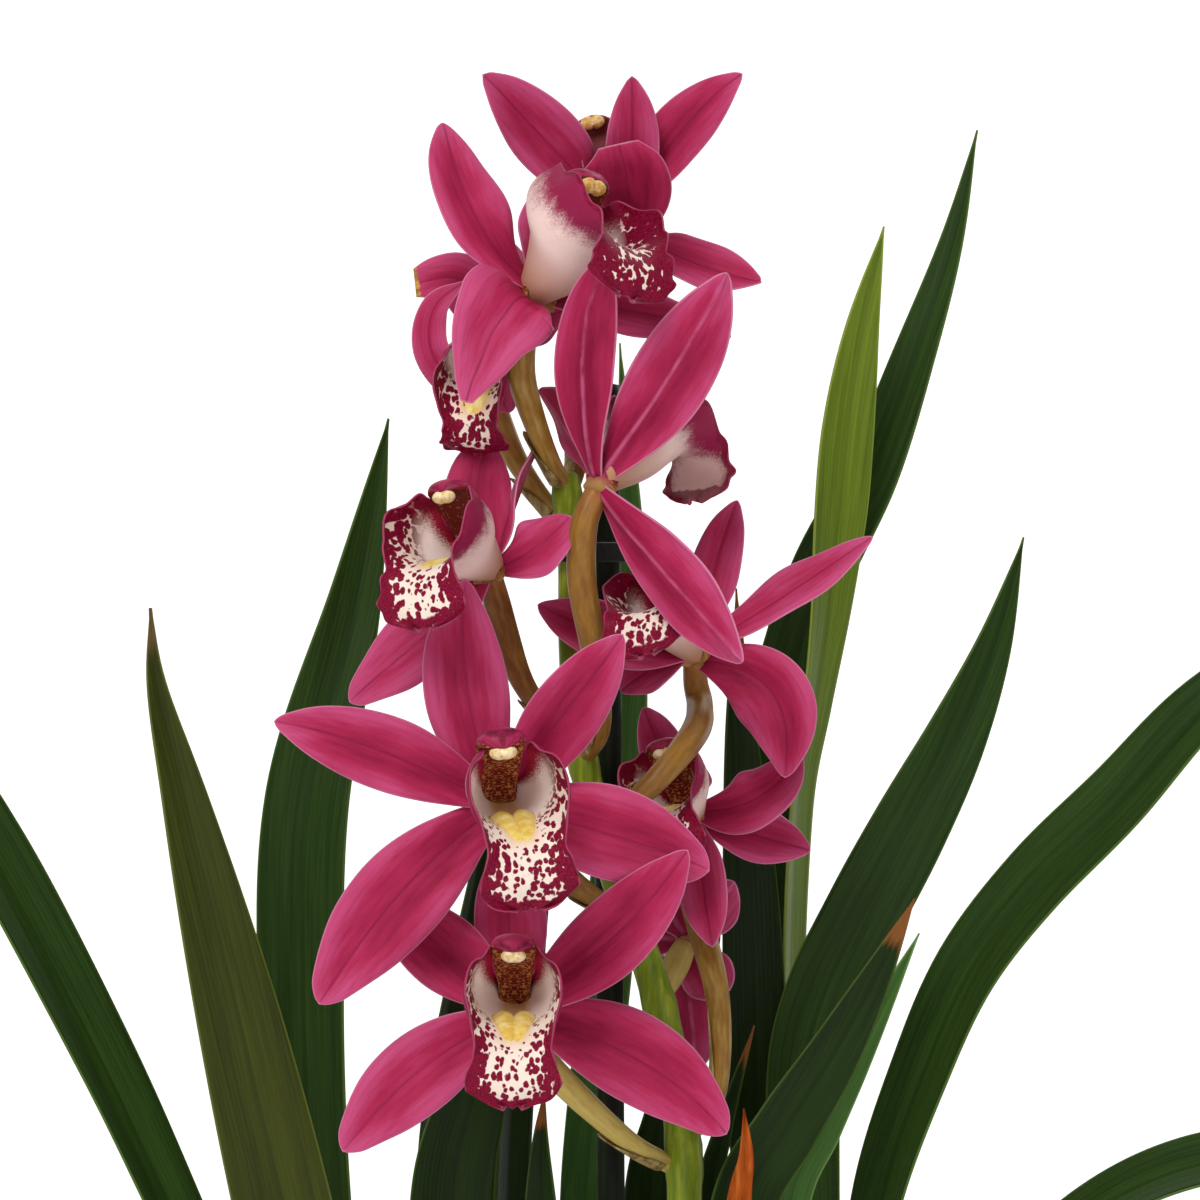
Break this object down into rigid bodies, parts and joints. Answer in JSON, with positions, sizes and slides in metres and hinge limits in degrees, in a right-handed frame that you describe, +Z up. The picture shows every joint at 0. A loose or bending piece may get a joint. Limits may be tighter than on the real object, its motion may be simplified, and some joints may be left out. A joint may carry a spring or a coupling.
{
  "type": "potted orchid",
  "caption": "Cymbidium-type orchid in bloom: a staked flower spike with crimson-pink flowers and spotted lips among long strap leaves, rising from pseudobulbs in bark in a plain round pot.",
  "frame": {"origin": "centre of the pot's flat underside, on the surface that the pot stands on", "axes": "+Z up the pot's axis and the flower spike, -Y towards the side that the front flowers face, +X to the viewer's right from that side"},
  "size_m": [0.4786, 0.1574, 0.5673],
  "materials": {
    "pot": "satin off-white glaze",
    "bark": "rough damp bark chips",
    "bulb": "smooth waxy green with papery sheaths",
    "leaf": "satin dark green with fine lengthwise veins",
    "dry_leaf": "dry papery orange-brown",
    "stem": "smooth waxy green",
    "stalk": "smooth waxy olive-yellow",
    "petal": "velvety crimson-pink with darker veins and pale edges",
    "lip": "cream-pink spotted crimson with a yellow callus",
    "stake": "dark coated cane",
    "clip": "black plastic"
  },
  "bodies": {
    "root": {"bark_mix": "bark", "clip_lower": "clip", "clip_upper": "clip", "dry_sheath": "dry_leaf", "flower_01_lip": "lip", "flower_01_petals": "petal", "flower_01_stalk": "stalk", "flower_02_lip": "lip", "flower_02_petals": "petal", "flower_02_stalk": "stalk", "flower_03_lip": "lip", "flower_03_petals": "petal", "flower_03_stalk": "stalk", "flower_04_lip": "lip", "flower_04_petals": "petal", "flower_04_stalk": "stalk", "flower_05_lip": "lip", "flower_05_petals": "petal", "flower_05_stalk": "stalk", "flower_06_lip": "lip", "flower_06_petals": "petal", "flower_06_stalk": "stalk", "flower_07_lip": "lip", "flower_07_petals": "petal", "flower_07_stalk": "stalk", "flower_08_lip": "lip", "flower_08_petals": "petal", "flower_08_stalk": "stalk", "flower_09_lip": "lip", "flower_09_petals": "petal", "flower_09_stalk": "stalk", "flower_10_lip": "lip", "flower_10_petals": "petal", "flower_10_stalk": "stalk", "flower_stem": "stem", "leaf_behind_stem": "leaf", "leaf_far_left": "leaf", "leaf_far_right": "leaf", "leaf_front_behind": "leaf", "leaf_front_dark": "leaf", "leaf_left_back": "leaf", "leaf_left_front": "leaf", "leaf_middle_broad": "leaf", "leaf_middle_left": "leaf", "leaf_middle_short": "leaf", "leaf_middle_tall": "leaf", "leaf_middle_upright": "leaf", "leaf_right_broad": "leaf", "leaf_right_dark": "leaf", "leaf_right_low": "leaf", "leaf_tall_light": "leaf", "leaf_tall_right": "leaf", "leaf_young": "leaf", "pot": "pot", "pseudobulb_front": "bulb", "pseudobulb_left": "bulb", "pseudobulb_middle": "bulb", "pseudobulb_right": "bulb", "stake": "stake"}
  },
  "joints": []
}
